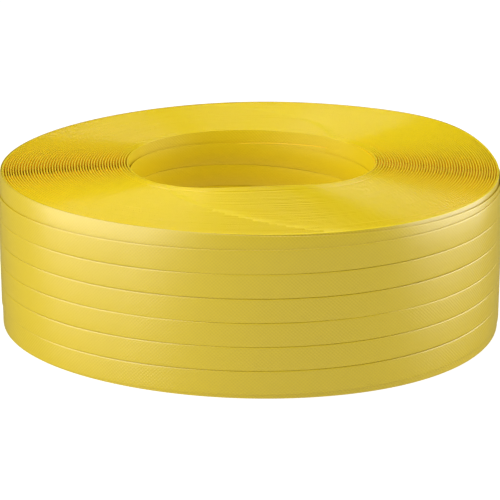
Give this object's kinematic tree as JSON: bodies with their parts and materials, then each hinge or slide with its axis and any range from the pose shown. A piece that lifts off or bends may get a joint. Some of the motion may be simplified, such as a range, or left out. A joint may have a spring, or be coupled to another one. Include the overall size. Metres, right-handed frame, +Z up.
{
  "type": "flat strapping band coil",
  "caption": "Coreless coil of flat embossed strapping band, wound in side-by-side lanes into a thick ring with a round centre hole.",
  "frame": {"origin": "middle of the lower end face's outline, on the surface that the coil stands on", "axes": "+Z up along the axis of the centre hole, which is the coil's shortest extent; the front is -Y"},
  "size_m": [0.34, 0.3401, 0.113],
  "materials": {
    "band": "embossed yellow polypropylene, soft sheen",
    "band_inner": "the same band seen in the hole and on the end faces, where light passes between its layers and deepens the yellow",
    "tape": "clear adhesive film"
  },
  "bodies": {
    "root": {"outer_turn_1": "band", "outer_turn_2": "band", "outer_turn_3": "band", "outer_turn_4": "band", "outer_turn_5": "band", "outer_turn_6": "band", "loose_end": "band", "under_turn_top": "band", "under_turn_bottom": "band", "under_turns_covered": "band", "inner_turn_1": "band_inner", "inner_turn_2": "band_inner", "inner_turn_3": "band_inner", "inner_turn_4": "band_inner", "inner_turn_5": "band_inner", "inner_turn_6": "band_inner", "inner_turn_7": "band_inner", "layer_pack_1": "band_inner", "layer_pack_2": "band_inner", "layer_pack_3": "band_inner", "layer_pack_4": "band_inner", "end_tape": "tape"}
  },
  "joints": []
}
